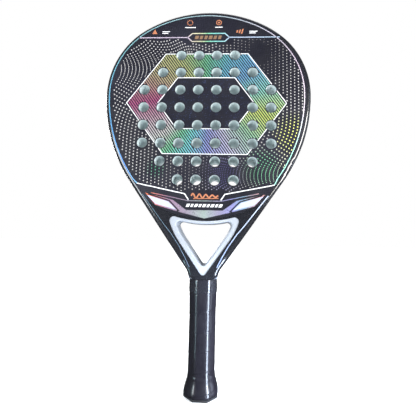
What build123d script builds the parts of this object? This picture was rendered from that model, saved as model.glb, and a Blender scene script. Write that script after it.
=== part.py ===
"""Padel racket: foam-cored perforated head, hairpin frame tube, open throat and wrapped handle.

Millimetres. +Z runs up the length from the butt, the front face looks along -Y, and the
origin is the middle of the butt's flat end.
"""
from build123d import *
import math
import os

# Head outline: crown, shoulder and flank arcs that meet tangent, then straight arms
overall_length = 455.0
head_width = 247.0
crown_rise = 107.0          # from the widest line up to the crown
crown_turn = 60.1           # where the crown hands over to a shoulder, degrees above the widest line
flank_radius = 188.0
arm_angle = 35.0            # each arm from the centre line, degrees
neck_radius = 22.0          # where an arm turns into the neck

# Section of the racket
thickness = 38.0
neck_taper = 32.0           # length over which the arms thin down to the neck
frame_width = 10.8
tube_wall = 2.0
edge_radius = 5.0
skin_thickness = 1.0
skin_margin = 5.0           # bare band of frame left outside the skins
neck_side_ledge = 0.8       # the neck stands out past the tape at both sides
neck_face_ledge = 0.1       # and at the front and rear
neck_corner_ledge = 1.2     # and at the bevels, as |x| + |y|
neck_bevel_spread = 1.2     # how fast those bevels open out up the arms

# Bridge and throat
throat_height = 63.8        # from where the frame's inner lines meet up to the bridge
throat_top_radius = 123.0
gusset_start = 41.0         # where the gussets leave the frame's inner lines, above where those meet
gusset_radius = 85.0
bridge_height = 13.5
bridge_top_radius = 205.0
bridge_wall = 2.0
skin_tail = 3.0             # bridge left bare below the skins
crotch_radius = 3.5
throat_corner_radius = 5.0
loop_side = 6.2             # throat lining, across the arms
loop_top = 3.2              # throat lining, under the bridge
loop_recess = 0.8           # lining set back from both faces
loop_edge_radius = 2.4
loop_corner_radius = 4.0

# Hole pattern through the head
hole_diameter = 12.5
hole_pitch_x = 21.7
hole_pitch_z = 22.0
hole_rows = (4, 6, 8, 8, 8, 8, 6, 4)    # from the crown down
grid_drop = 28.5            # from the widest line down to the pattern's middle
hole_margin = 2.0           # least foam between a hole and the frame or the bridge

# Handle
shaft_half_width = 9.2
shaft_half_depth = 9.5
shaft_edge_radius = 4.0
shaft_wall = 1.8
spacer_half_width = 2.0
pallet_half_width = 12.9
pallet_half_depth = 13.6
pallet_bevel = 7.0
grip_thickness = 2.4
grip_step = 3.0             # length over which the grip eases off the cap's upper rim
tape_thickness = 0.5
tape_width = 15.0

# Butt cap
cap_height = 22.0
cap_floor = 3.2
cap_skirt = 0.6             # cap wall at its upper rim
cap_flare = 4.2             # how far it swells past the pallet
cap_full_z = 4.0            # height where the swell is complete
cap_sections = 7
lip_height = 3.5            # bare rim below the grip
lip_round = 3.0
lip_inset = 0.4             # rim set in from the grip's surface
cord_room = 6.0             # chamber for the wrist cord's knot
cord_hole_radius = 2.2
cord_hole_spacing = 9.0

# Worked out from the sizes above
reach = 2.0 * overall_length
half_width = head_width / 2
widest_z = overall_length - crown_rise
alpha = math.radians(arm_angle)
turn_cos = math.cos(math.radians(crown_turn))
turn_sin = math.sin(math.radians(crown_turn))
turn_rest = 1 - turn_cos - turn_sin
shoulder_radius = (half_width * (1 - turn_sin) - crown_rise * turn_cos) / turn_rest
crown_radius = (crown_rise * (1 - turn_cos) - half_width * turn_sin) / turn_rest
shoulder_x = half_width - shoulder_radius
flank_x = half_width - flank_radius
crown_z = overall_length - crown_radius
tape_growth = grip_thickness + tape_thickness
neck_half_width = pallet_half_width + tape_growth + neck_side_ledge
neck_half_depth = pallet_half_depth + tape_growth + neck_face_ledge
arm_top_x = flank_x + flank_radius * math.cos(alpha)
arm_top_z = widest_z - flank_radius * math.sin(alpha)
neck_corner_z = arm_top_z - (arm_top_x - neck_half_width) / math.tan(alpha)
neck_z = neck_corner_z - neck_radius * math.tan(alpha / 2)
grid_z = widest_z - grid_drop
half_thickness = thickness / 2
core_half_depth = half_thickness - skin_thickness
cavity_half_depth = core_half_depth - tube_wall
shaft_bottom = cap_floor + cord_room
tape_bottom = neck_z - tape_width

# Sketches are drawn with x across the racket and y up its length
face_plane = Plane(origin=(0, 0, 0), x_dir=(1, 0, 0), z_dir=(0, -1, 0))
side_plane = Plane(origin=(0, 0, 0), x_dir=(0, 1, 0), z_dir=(1, 0, 0))


def apex_z(inset):
    """Height where the arm lines, moved in by inset, cross the centre line."""
    return neck_corner_z + (inset / math.cos(alpha) - neck_half_width) / math.tan(alpha)


throat_top_z = apex_z(frame_width) + throat_height


def head_arcs(inset):
    """Crown, shoulder and flank arcs of the right side and the crown, moved in by inset."""
    crown = CenterArc((0, crown_z), crown_radius - inset, crown_turn, 180 - 2 * crown_turn)
    shoulder = CenterArc((shoulder_x, widest_z), shoulder_radius - inset, 0, crown_turn)
    flank = CenterArc((flank_x, widest_z), flank_radius - inset, -arm_angle, arm_angle)
    return crown, [shoulder, flank]


def arm_top(inset):
    """Point where the flank arc hands over to the straight arm."""
    return Vector(arm_top_x - inset * math.cos(alpha), arm_top_z + inset * math.sin(alpha))


def closed_face(middle, right):
    """Face bounded by the middle edges and by the right edges with their mirror images."""
    left = [mirror(edge, about=Plane.YZ) for edge in right]
    return make_face([*middle, *right, *left])


def teardrop(inset, tip_radius=0.0):
    """The head outline moved in by inset, with its arms carried down to a point."""
    crown, right = head_arcs(inset)
    right.append(Line(arm_top(inset), (0, apex_z(inset))))
    face = closed_face([crown], right)
    if tip_radius > 0:
        tip = face.vertices().sort_by(Axis.Y)[0]
        face = fillet(tip, tip_radius)
    return face


def silhouette():
    """The whole outline down to the flat foot of the neck."""
    crown, right = head_arcs(0)
    neck = CenterArc((neck_half_width + neck_radius, neck_z), neck_radius, 180 - arm_angle, arm_angle)
    right.append(Line(arm_top(0), neck @ 0))
    right.append(neck)
    foot = Line((-neck_half_width, neck_z), (neck_half_width, neck_z))
    return closed_face([crown, foot], right)


def below_arc(middle_z, radius):
    """Everything under an upward-opening arc whose lowest point is at middle_z."""
    block = Pos(0, middle_z) * Rectangle(2 * radius, 2 * radius)
    return block - Pos(0, middle_z + radius) * Circle(radius)


def across(face, half_depth):
    """Solid made by carrying a front-view face through the racket's thickness."""
    return extrude(face_plane * face, half_depth, both=True)


def side_limit(inset):
    """Slab that follows the racket's thickness: even over the head, thinning to the neck."""
    front = half_thickness - inset
    foot = neck_half_depth - inset
    top = neck_z + neck_taper
    taper = TangentArc((front, top), (foot, neck_z), tangent=(0, -1))
    side = Line((front, top), (front, reach))
    skirt = Line((foot, neck_z), (foot, -1))
    ends = [Line((-front, reach), (front, reach)), Line((-foot, -1), (foot, -1))]
    profile = closed_face(ends, [taper, side, skirt])
    return extrude(side_plane * profile, reach, both=True)


def neck_envelope():
    """Four sloping bevels that turn the neck's square corners into the handle's octagon."""
    corner = pallet(tape_growth).vertices().sort_by(Axis.X)[-1]
    low = corner.X + abs(corner.Y) + neck_corner_ledge
    high = low + neck_bevel_spread * overall_length
    foot = Polygon((low, 0), (0, low), (-low, 0), (0, -low), align=None)
    head = Polygon((high, 0), (0, high), (-high, 0), (0, -high), align=None)
    return loft([Pos(0, 0, neck_z) * foot, Pos(0, 0, neck_z + overall_length) * head], ruled=True)


def pallet(offset_out=0.0):
    """Octagonal section of the handle, grown by offset_out."""
    wide = pallet_half_width + offset_out
    deep = pallet_half_depth + offset_out
    bevel = pallet_bevel + offset_out * (2 - math.sqrt(2))
    corners = [(wide, deep - bevel), (wide - bevel, deep), (-wide + bevel, deep), (-wide, deep - bevel)]
    corners += [(-x, -y) for x, y in corners]
    return Polygon(*corners, align=None)


def prism(face, bottom, top):
    """Upright solid on a section of the handle."""
    return extrude(Pos(0, 0, bottom) * face, top - bottom)


def skin_outline():
    """Area that a skin covers."""
    bare = below_arc(throat_top_z + skin_tail, throat_top_radius - skin_tail)
    return teardrop(skin_margin) - bare


def core_outline(inset=0.0):
    """Area between the frame and the bridge, moved in by inset."""
    bridge = below_arc(throat_top_z + bridge_height + inset, bridge_top_radius - inset)
    return teardrop(frame_width + inset) - bridge


def hole_places():
    """Centres of the holes that clear the frame and the bridge, row by row from the crown."""
    room = core_outline(hole_diameter / 2 + hole_margin)
    top_row = grid_z + hole_pitch_z * (len(hole_rows) - 1) / 2
    places = []
    for row, count in enumerate(hole_rows):
        z = top_row - row * hole_pitch_z
        places += [((i - (count - 1) / 2) * hole_pitch_x, z) for i in range(count)]
    return [place for place in places if room.is_inside(Vector(*place))]


def holes():
    """The drilled pattern as discs."""
    return Sketch() + [Pos(x, z) * Circle(hole_diameter / 2) for x, z in hole_places()]


def throat_funnel(inset=0.0):
    """Front view between the arms, drawn in under the bridge by its gussets, moved in by inset."""
    start = Vector(gusset_start * math.tan(alpha), apex_z(frame_width) + gusset_start)
    centre = start - Vector(math.cos(alpha), -math.sin(alpha)) * gusset_radius
    gusset = CenterArc(centre, gusset_radius - inset, -arm_angle, arm_angle)
    arm = Line(gusset @ 0, (0, apex_z(frame_width + inset)))
    end = gusset @ 1
    face = closed_face([Line((-end.X, end.Y), (end.X, end.Y))], [gusset, arm])
    tip = face.vertices().sort_by(Axis.Y)[0]
    return fillet(tip, crotch_radius)


def throat_window():
    """The opening between the arms and the bridge, before it is lined."""
    window = throat_funnel() & below_arc(throat_top_z, throat_top_radius)
    corners = window.vertices().sort_by(Axis.Y)[-2:]
    return fillet(corners, throat_corner_radius)


def lined_window():
    """The opening left inside the throat lining."""
    window = throat_funnel(loop_side) & below_arc(throat_top_z - loop_top, throat_top_radius + loop_top)
    corners = window.vertices().sort_by(Axis.Y)[-2:]
    return fillet(corners, loop_corner_radius)


def face_sheet(face, side):
    """Sheet laid on the core from a front-view face, side -1 for the front and +1 for the rear."""
    back = -core_half_depth if side < 0 else half_thickness
    return Pos(0, back, 0) * extrude(face_plane * face, skin_thickness)


def skin(side):
    """One drilled skin."""
    return face_sheet(skin_outline() - holes(), side)


def seat_for_skins(solid):
    """Cut both skins' seats out of a full-thickness solid."""
    return solid - face_sheet(skin_outline(), -1) - face_sheet(skin_outline(), 1)


def shaft(side):
    """One tube end inside the handle, side -1 or +1."""
    width = shaft_half_width - spacer_half_width
    centre = side * (shaft_half_width + spacer_half_width) / 2
    section = Pos(centre, 0) * Rectangle(width, 2 * shaft_half_depth)
    block = prism(section, shaft_bottom, neck_z + tube_wall / 2)
    outer = block.edges().filter_by(Axis.Z).sort_by(Axis.X)
    corners = outer[-2:] if side > 0 else outer[:2]
    return fillet(corners, shaft_edge_radius)


def shaft_bore(side):
    """The hollow of one tube end, carried up into the arm's hollow."""
    width = shaft_half_width - spacer_half_width - 2 * shaft_wall
    centre = side * (shaft_half_width + spacer_half_width) / 2
    section = Pos(centre, 0) * Rectangle(width, 2 * (shaft_half_depth - shaft_wall))
    return prism(section, shaft_bottom, neck_z + 2 * tube_wall)


def outer_rim(body):
    """Front and rear edges of the body's outer silhouette, above the neck's foot."""
    within = teardrop(tube_wall)
    rim = []
    for edge in body.edges():
        middle = edge @ 0.5
        outside = not within.is_inside(Vector(middle.X, middle.Z))
        above_foot = middle.Z > neck_z + tube_wall
        if outside and above_foot and abs(middle.Y) > edge_radius:
            rim.append(edge)
    return rim


def frame_tube():
    """Hairpin tube: round the head, down both arms and side by side through the handle."""
    ring = silhouette() - teardrop(frame_width, crotch_radius)
    body = across(ring, thickness) & side_limit(0)
    body = fillet(outer_rim(body), edge_radius)
    body = body & neck_envelope()
    body = body + shaft(-1) + shaft(1)
    lower_stop = Pos(0, neck_z + tube_wall - reach / 2) * Rectangle(reach, reach)
    hollow = teardrop(tube_wall) - teardrop(frame_width - tube_wall) - lower_stop
    cavity = across(hollow, thickness) & side_limit(skin_thickness + tube_wall)
    body = body - cavity - shaft_bore(-1) - shaft_bore(1)
    return seat_for_skins(body)


def bridge_region():
    """Front view of the member that closes the head above the throat."""
    span = teardrop(frame_width, crotch_radius)
    top = below_arc(throat_top_z + bridge_height, bridge_top_radius)
    return (span & top) - throat_window()


def bridge_hollow():
    """Front view of the bridge's hollow, open at both ends to the frame's inner walls."""
    span = teardrop(frame_width, crotch_radius)
    top = below_arc(throat_top_z + bridge_height - bridge_wall, bridge_top_radius + bridge_wall)
    bottom = below_arc(throat_top_z + bridge_wall, throat_top_radius - bridge_wall)
    return (span & top) - bottom


def bridge_foam():
    """Foam core of the bridge."""
    return across(bridge_hollow(), cavity_half_depth)


def bridge_shell():
    """Laminated skin of the bridge."""
    return seat_for_skins(across(bridge_region(), half_thickness)) - bridge_foam()


def core():
    """Perforated foam slab that fills the head."""
    return across(core_outline() - holes(), core_half_depth)


def throat_loop():
    """Painted lining that rounds off the throat opening."""
    ring = across(throat_window() - lined_window(), half_thickness - loop_recess)
    faces = ring.faces().sort_by(Axis.Y)
    inner_edges = [edge for face in (faces[0], faces[-1]) for edge in face.inner_wires()[0].edges()]
    return fillet(inner_edges, loop_edge_radius) & side_limit(loop_recess)


def shaft_envelope():
    """Section of both shafts with the spacer between them."""
    section = Rectangle(2 * shaft_half_width, 2 * shaft_half_depth)
    return fillet(section.vertices(), shaft_edge_radius)


def handle_spacer():
    """Foam strip between the two shafts."""
    section = Rectangle(2 * spacer_half_width, 2 * shaft_half_depth)
    return prism(section, shaft_bottom, neck_z)


def handle_shell(side):
    """Half of the pallet that gives the handle its octagon, side -1 front and +1 rear."""
    half = Pos(0, side * reach / 2) * Rectangle(reach, reach)
    return prism((pallet() - shaft_envelope()) & half, shaft_bottom, neck_z)


def flare(z):
    """How far the cap stands out past the pallet at a height."""
    turn = min(1.0, (cap_height - z) / (cap_height - cap_full_z))
    return cap_skirt + (cap_flare - cap_skirt) * (1 - math.cos(math.pi * turn)) / 2


def stack(heights, grow):
    """Solid through octagons at the given heights, each grown by grow(z)."""
    return loft([Pos(0, 0, z) * pallet(grow(z)) for z in heights], ruled=True)


def spread(low, high, count):
    """Evenly spaced heights from low to high."""
    return [low + (high - low) * i / (count - 1) for i in range(count)]


def lip(z):
    """How far the bare rim stands out at a height, rounded off at the bottom."""
    full = cap_flare + grip_thickness - lip_inset
    return full - lip_round * (1 - math.sqrt(1 - (1 - z / lip_height)**2))


def cap_body():
    """Outer form of the butt cap: rim and flared skirt."""
    rim = stack([lip_height * (1 - math.cos(math.pi / 2 * i / 5)) for i in range(6)], lip)
    skirt = stack(spread(lip_height, cap_height, cap_sections), flare)
    return rim + skirt


def butt_cap():
    """Moulded cap that closes and flares the handle, with two holes for a wrist cord."""
    socket = prism(pallet(), shaft_bottom, cap_height)
    room = prism(shaft_envelope(), cap_floor, shaft_bottom)
    cord = Sketch() + [Pos(s * cord_hole_spacing / 2, 0) * Circle(cord_hole_radius) for s in (-1, 1)]
    return cap_body() - socket - room - prism(cord, 0, cap_floor)


def grip_growth(z):
    """How far the grip's surface stands out past the pallet at a height."""
    return grip_thickness + (flare(z) if z <= cap_height else 0.0)


def base_grip():
    """Cushioned strip wound round the pallet and the cap."""
    heights = spread(lip_height, cap_height, cap_sections) + [cap_height + grip_step, neck_z]
    return stack(heights, grip_growth) - cap_body() - prism(pallet(), 0, neck_z)


def finishing_tape():
    """Tape that holds the grip's upper end."""
    return prism(pallet(tape_growth) - pallet(grip_thickness), tape_bottom, neck_z)


parts = {
    "frame_tube": frame_tube,
    "throat_loop": throat_loop,
    "bridge_shell": bridge_shell,
    "bridge_foam": bridge_foam,
    "core": core,
    "front_skin": lambda: skin(-1),
    "rear_skin": lambda: skin(1),
    "handle_spacer": handle_spacer,
    "handle_shell_front": lambda: handle_shell(-1),
    "handle_shell_rear": lambda: handle_shell(1),
    "butt_cap": butt_cap,
    "base_grip": base_grip,
    "finishing_tape": finishing_tape,
}

os.makedirs("parts", exist_ok=True)
for name, make in parts.items():
    export_step(make(), f"parts/{name}.step")
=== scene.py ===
"""Looks of the padel racket: finishes, printed faces, wound grip, light and camera.

Metres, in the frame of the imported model: +Z runs from the butt to the crown and the front face
looks along -Y. The print is drawn in millimetres on the flat of a face, as (x, z).
"""
import math
import random

import bpy
from mathutils import Matrix, Vector


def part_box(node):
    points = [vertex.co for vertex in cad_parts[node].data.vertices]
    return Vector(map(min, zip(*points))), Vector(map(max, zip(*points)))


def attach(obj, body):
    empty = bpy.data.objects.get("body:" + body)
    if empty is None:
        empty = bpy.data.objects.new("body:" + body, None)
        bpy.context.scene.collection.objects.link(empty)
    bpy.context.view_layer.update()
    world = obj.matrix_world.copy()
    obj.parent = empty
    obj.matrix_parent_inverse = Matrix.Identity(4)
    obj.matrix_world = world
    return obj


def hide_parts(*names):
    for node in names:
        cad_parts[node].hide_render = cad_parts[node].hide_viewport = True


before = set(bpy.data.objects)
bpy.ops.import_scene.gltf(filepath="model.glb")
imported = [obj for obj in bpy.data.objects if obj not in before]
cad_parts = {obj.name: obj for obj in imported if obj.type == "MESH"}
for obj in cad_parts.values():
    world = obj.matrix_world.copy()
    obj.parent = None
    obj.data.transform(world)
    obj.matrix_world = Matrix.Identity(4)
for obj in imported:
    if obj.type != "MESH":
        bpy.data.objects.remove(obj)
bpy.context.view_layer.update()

MM = 0.001
FRONT = -1
REAR = 1

# Head outline, in millimetres: crown, shoulder and flank arcs, then straight arms
CROWN_RISE = 107.0
CROWN_TURN = math.radians(60.1)
FLANK_RADIUS = 188.0
ARM_ANGLE = math.radians(35.0)
NECK_TAPER = 32.0
NECK_HALF_DEPTH = 16.6

# Hole pattern, in millimetres
HOLE_RADIUS = 6.25
HOLE_PITCH_X = 21.7
HOLE_PITCH_Z = 22.0
HOLE_ROWS = (4, 6, 8, 8, 8, 8, 6, 4)
GRID_DROP = 28.5

# Worked out from the frame, in millimetres
tube_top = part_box("frame_tube")[1] / MM
half_width = tube_top.x
crown_top = tube_top.z
face_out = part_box("front_skin")[0].y / -MM
neck_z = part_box("base_grip")[1].z / MM
widest_z = crown_top - CROWN_RISE
turn_cos = math.cos(CROWN_TURN)
turn_sin = math.sin(CROWN_TURN)
turn_rest = 1 - turn_cos - turn_sin
shoulder_radius = (half_width * (1 - turn_sin) - CROWN_RISE * turn_cos) / turn_rest
crown_radius = (CROWN_RISE * (1 - turn_cos) - half_width * turn_sin) / turn_rest
shoulder_x = half_width - shoulder_radius
flank_x = half_width - FLANK_RADIUS
crown_z = crown_top - crown_radius
arm_top_x = flank_x + FLANK_RADIUS * math.cos(ARM_ANGLE)
arm_top_z = widest_z - FLANK_RADIUS * math.sin(ARM_ANGLE)
top_row_z = widest_z - GRID_DROP + HOLE_PITCH_Z * (len(HOLE_ROWS) - 1) / 2


# ---------------------------------------------------------------- colours

# Coloured spots among the grey dots: x, z and reach in millimetres, then the colour
DOT_TINTS = (
    (104.0, 296.0, 34.0, (0.62, 0.66, 0.16)),
    (66.0, 258.0, 30.0, (0.16, 0.5, 0.26)),
    (97.0, 262.0, 18.0, (0.6, 0.62, 0.42)),
    (-58.0, 255.0, 15.0, (0.1, 0.34, 0.2)),
    (20.0, 250.0, 32.0, (0.14, 0.13, 0.34)),
)

# Foils: the place along the run, from 0 to 1, and the colour there
MARK_COLOURS = (
    (0.0, (0.5, 0.1, 0.26)),
    (0.06, (0.62, 0.52, 0.58)),
    (0.11, (0.66, 0.68, 0.66)),
    (0.15, (0.2, 0.62, 0.34)),
    (0.2, (0.22, 0.68, 0.72)),
    (0.26, (0.3, 0.34, 0.72)),
    (0.33, (0.56, 0.56, 0.74)),
    (0.4, (0.36, 0.66, 0.42)),
    (0.46, (0.62, 0.74, 0.16)),
    (0.53, (0.3, 0.72, 0.6)),
    (0.6, (0.18, 0.42, 0.7)),
    (0.68, (0.16, 0.5, 0.62)),
    (0.75, (0.18, 0.56, 0.3)),
    (0.84, (0.5, 0.54, 0.22)),
    (0.92, (0.52, 0.44, 0.26)),
    (1.0, (0.5, 0.1, 0.26)),
)

TRIM_COLOURS = (
    (0.0, (0.12, 0.38, 0.6)),
    (0.1, (0.12, 0.3, 0.75)),
    (0.17, (0.3, 0.62, 0.8)),
    (0.22, (0.45, 0.66, 0.95)),
    (0.3, (0.4, 0.85, 0.72)),
    (0.42, (0.42, 0.85, 0.7)),
    (0.5, (0.85, 0.76, 0.85)),
    (0.58, (0.55, 0.45, 0.55)),
    (0.75, (0.3, 0.42, 0.46)),
    (0.9, (0.18, 0.4, 0.44)),
    (1.0, (0.12, 0.38, 0.6)),
)

BROW_COLOURS = (
    (0.0, (0.5, 0.42, 0.54)),
    (0.06, (0.54, 0.5, 0.34)),
    (0.25, (0.24, 0.56, 0.32)),
    (0.44, (0.2, 0.56, 0.52)),
    (0.5, (0.42, 0.5, 0.66)),
    (0.56, (0.2, 0.58, 0.54)),
    (0.75, (0.24, 0.58, 0.32)),
    (0.94, (0.6, 0.56, 0.36)),
    (1.0, (0.5, 0.42, 0.54)),
)

PANEL_COLOURS = (
    (0.0, (0.8, 0.22, 0.12)),
    (0.03, (0.62, 0.24, 0.26)),
    (0.1, (0.38, 0.24, 0.36)),
    (0.3, (0.34, 0.3, 0.38)),
    (0.5, (0.36, 0.44, 0.41)),
    (0.66, (0.34, 0.32, 0.46)),
    (0.82, (0.3, 0.3, 0.62)),
    (0.92, (0.26, 0.42, 0.56)),
    (0.97, (0.5, 0.36, 0.42)),
    (1.0, (0.64, 0.34, 0.34)),
)

# Painted highlight up the arms: dim teal on the left, brightening to pale blue on the right where the light
# falls
ARM_HIGHLIGHT_COLOURS = (
    (0.0, (0.12, 0.2, 0.26)),
    (0.5, (0.2, 0.26, 0.4)),
    (0.75, (0.3, 0.38, 0.6)),
    (1.0, (0.6, 0.7, 0.9)),
)


# ---------------------------------------------------------------- finishes

class NodeWork:
    """Puts nodes in a tree and fills their sockets with values or links."""

    def add(self, kind, sockets=None, **settings):
        node = self.tree.nodes.new(kind)
        for key, value in settings.items():
            setattr(node, key, value)
        for socket, value in (sockets or {}).items():
            self.feed(node.inputs[socket], value)
        return node

    def feed(self, socket, value):
        if isinstance(value, bpy.types.NodeSocket):
            self.tree.links.new(value, socket)
        else:
            socket.default_value = value


class Finish(NodeWork):
    """A node material on the Principled shader, with its patterns on Object coordinates."""

    def __init__(self, name, base, roughness, **constants):
        self.material = bpy.data.materials.new(name)
        self.material.use_nodes = True
        self.tree = self.material.node_tree
        self.shader = self.tree.nodes["Principled BSDF"]
        self.shader.inputs["Base Color"].default_value = (*base, 1)
        self.shader.inputs["Roughness"].default_value = roughness
        for socket, value in constants.items():
            self.shader.inputs[socket.replace("_", " ")].default_value = value
        self.place = self.add("ShaderNodeTexCoord").outputs["Object"]

    def noise(self, scale, detail=3.0):
        sockets = {"Vector": self.place, "Scale": scale, "Detail": detail}
        return self.add("ShaderNodeTexNoise", sockets).outputs["Fac"]

    def cells(self, scale, feature="F1"):
        sockets = {"Vector": self.place, "Scale": scale}
        return self.add("ShaderNodeTexVoronoi", sockets, feature=feature).outputs["Distance"]

    def math(self, operation, first, second=0.0):
        return self.add("ShaderNodeMath", {0: first, 1: second}, operation=operation).outputs[0]

    def ramp(self, factor, stops):
        """Colour from (position, colour) stops."""
        node = self.add("ShaderNodeValToRGB", {"Fac": factor})
        band = node.color_ramp
        while len(band.elements) < len(stops):
            band.elements.new(1.0)
        for element, (position, colour) in zip(band.elements, stops):
            element.position = position
            element.color = (*colour, 1)
        return node.outputs["Color"]

    def span(self, value, low, high, low_out=0.0, high_out=1.0):
        """Value mapped smoothly from low..high to low_out..high_out."""
        sockets = {"Value": value, "From Min": low, "From Max": high, "To Min": low_out, "To Max": high_out}
        return self.add("ShaderNodeMapRange", sockets, interpolation_type="SMOOTHSTEP").outputs["Result"]

    def mix(self, factor, first, second):
        """Colour between first and second."""
        node = self.add("ShaderNodeMix", {0: factor}, data_type="RGBA")
        for socket, colour in ((node.inputs[6], first), (node.inputs[7], second)):
            self.feed(socket, colour if isinstance(colour, bpy.types.NodeSocket) else (*colour, 1))
        return node.outputs[2]

    def axes(self):
        """x, y and z of the place, in metres."""
        return self.add("ShaderNodeSeparateXYZ", {0: self.place}).outputs

    def round_face(self, centre):
        """0 to 1 round a point of the face, from the left, down, right and up again."""
        turned = self.add("ShaderNodeMapping", {"Vector": self.place})
        turned.inputs["Rotation"].default_value = (-math.pi / 2, 0, 0)
        turned.inputs["Location"].default_value = (-centre[0] * MM, -centre[1] * MM, 0)
        sockets = {"Vector": turned.outputs["Vector"]}
        return self.add("ShaderNodeTexGradient", sockets, gradient_type="RADIAL").outputs["Fac"]

    def colour(self, value):
        self.feed(self.shader.inputs["Base Color"], value)

    def rough(self, value):
        self.feed(self.shader.inputs["Roughness"], value)

    def bump(self, height, strength, distance):
        sockets = {"Height": height, "Strength": strength, "Distance": distance}
        node = self.add("ShaderNodeBump", sockets)
        self.tree.links.new(node.outputs["Normal"], self.shader.inputs["Normal"])


FRAME_THREAD = 0.0016       # widths of the woven threads, in metres
SKIN_THREAD = 0.0022
FLASH_TOP = 0.156           # the flash on the neck's sides fades out between these heights, in metres
FLASH_FULL = 0.149
FLASH_SLANT = 0.5           # how fast its upper edge falls away from the middle of the side
FLASH_EDGE = 0.0135         # it also fades out between these distances from the middle
FLASH_BODY = 0.0105


def weave(finish, thread):
    """Height of a 2/2 twill with threads that many metres wide, on the plane of the face."""
    x, _, z = finish.axes()
    across = finish.math("DIVIDE", x, thread)
    along = finish.math("DIVIDE", z, thread)
    diagonal = finish.math("FRACT", finish.math("MULTIPLY", finish.math("ADD", across, along), 0.25))
    step = finish.math("GREATER_THAN", diagonal, 0.5)
    warp = finish.math("PINGPONG", across, 0.5)
    weft = finish.math("PINGPONG", along, 0.5)
    warp_part = finish.math("MULTIPLY", warp, step)
    weft_part = finish.math("MULTIPLY", weft, finish.math("SUBTRACT", 1.0, step))
    return finish.math("ADD", warp_part, weft_part)


def frame_gloss():
    """Black carbon under a deep clear coat, with the white flash sprayed on the neck's sides."""
    finish = Finish("clear_coated_black", (0.01, 0.011, 0.014), 0.2, Coat_Weight=1.0, Coat_Roughness=0.04)
    threads = weave(finish, FRAME_THREAD)
    black = finish.mix(finish.span(threads, 0.1, 0.4), (0.006, 0.0065, 0.009), (0.016, 0.017, 0.022))
    _, y, z = finish.axes()
    off_middle = finish.math("ABSOLUTE", y)
    slant = finish.math("ADD", z, finish.math("MULTIPLY", off_middle, FLASH_SLANT))
    low = finish.span(slant, FLASH_TOP, FLASH_FULL)
    side = finish.span(off_middle, FLASH_EDGE, FLASH_BODY)
    flash = finish.math("MULTIPLY", low, side)
    pearl = finish.mix(finish.noise(900.0), (0.17, 0.19, 0.23), (0.22, 0.24, 0.29))
    finish.colour(finish.mix(flash, black, pearl))
    finish.rough(finish.span(finish.noise(35.0), 0.3, 0.7, 0.16, 0.26))
    return finish.material


def skin_print():
    """Near-black printed skin with a satin coat, faint fibre and drifting colour."""
    finish = Finish("satin_black_skin", (0.012, 0.012, 0.018), 0.34, Coat_Weight=0.35, Coat_Roughness=0.16)
    stops = ((0.3, (0.008, 0.008, 0.012)), (0.55, (0.013, 0.013, 0.02)), (0.75, (0.02, 0.02, 0.032)))
    drift = finish.ramp(finish.noise(9.0, 2.0), stops)
    threads = weave(finish, SKIN_THREAD)
    faint = finish.mix(finish.span(threads, 0.1, 0.45), (0.75, 0.75, 0.8), (1.25, 1.25, 1.3))
    finish.colour(finish.add("ShaderNodeVectorMath", {0: drift, 1: faint}, operation="MULTIPLY").outputs[0])
    finish.rough(finish.span(finish.noise(60.0), 0.3, 0.7, 0.28, 0.42))
    finish.bump(finish.noise(900.0, 2.0), 0.1, 0.00015)
    return finish.material


def cut_foam():
    """Cut closed-cell foam: pale grey-green with open pores and darker smears from the drill."""
    finish = Finish("cut_grey_foam", (0.5, 0.56, 0.55), 0.8)
    pores = finish.span(finish.cells(1500.0), 0.12, 0.45)
    cloud = finish.mix(finish.noise(260.0, 4.0), (0.54, 0.63, 0.65), (0.66, 0.75, 0.76))
    finish.colour(finish.mix(pores, (0.4, 0.47, 0.48), cloud))
    finish.bump(finish.math("ADD", pores, finish.noise(2600.0)), 0.55, 0.0003)
    return finish.material


def moulded_foam():
    """Rigid cream foam of the handle and the bridge, with a skin of small cells."""
    finish = Finish("moulded_cream_foam", (0.72, 0.64, 0.46), 0.75)
    cells = finish.span(finish.cells(1800.0), 0.05, 0.4)
    finish.colour(finish.mix(cells, (0.5, 0.42, 0.28), (0.76, 0.68, 0.5)))
    finish.bump(cells, 0.4, 0.0003)
    return finish.material


def pearl_paint():
    """Pearl white paint with fine flake and a cool sheen."""
    finish = Finish("pearl_white_paint", (0.6, 0.64, 0.7), 0.5, Coat_Weight=0.3, Coat_Roughness=0.3)
    flake = finish.span(finish.cells(3800.0), 0.1, 0.5)
    cool = finish.mix(finish.noise(30.0), (0.29, 0.32, 0.37), (0.33, 0.36, 0.41))
    finish.colour(finish.mix(flake, (0.37, 0.4, 0.45), cool))
    finish.rough(finish.span(finish.noise(120.0), 0.3, 0.7, 0.44, 0.56))
    finish.bump(finish.noise(500.0, 2.0), 0.06, 0.0002)
    return finish.material


def wrap_leather():
    """Smooth tacky black strip: fine crazed grain, slightly uneven shine."""
    finish = Finish("black_grip_wrap", (0.012, 0.011, 0.016), 0.42, Coat_Weight=0.8, Coat_Roughness=0.14,
                    Specular_IOR_Level=0.25)
    grain = finish.cells(900.0, "SMOOTH_F1")
    finish.colour(finish.mix(finish.noise(45.0, 4.0), (0.004, 0.0035, 0.006), (0.011, 0.0095, 0.015)))
    finish.rough(finish.span(finish.noise(140.0, 4.0), 0.3, 0.7, 0.32, 0.5))
    finish.bump(finish.math("ADD", grain, finish.noise(420.0)), 0.6, 0.0004)
    return finish.material


def tape_film():
    """Glossy black tape with fine lengthwise drawing lines."""
    finish = Finish("black_tape_film", (0.012, 0.012, 0.015), 0.22, Coat_Weight=0.5, Coat_Roughness=0.1)
    _, _, z = finish.axes()
    lines = finish.math("PINGPONG", finish.math("MULTIPLY", z, 1400.0), 0.5)
    finish.colour(finish.mix(finish.noise(80.0), (0.008, 0.008, 0.011), (0.02, 0.02, 0.026)))
    finish.rough(finish.span(finish.noise(90.0), 0.3, 0.7, 0.16, 0.3))
    finish.bump(finish.math("ADD", lines, finish.noise(150.0)), 0.2, 0.0002)
    return finish.material


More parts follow.
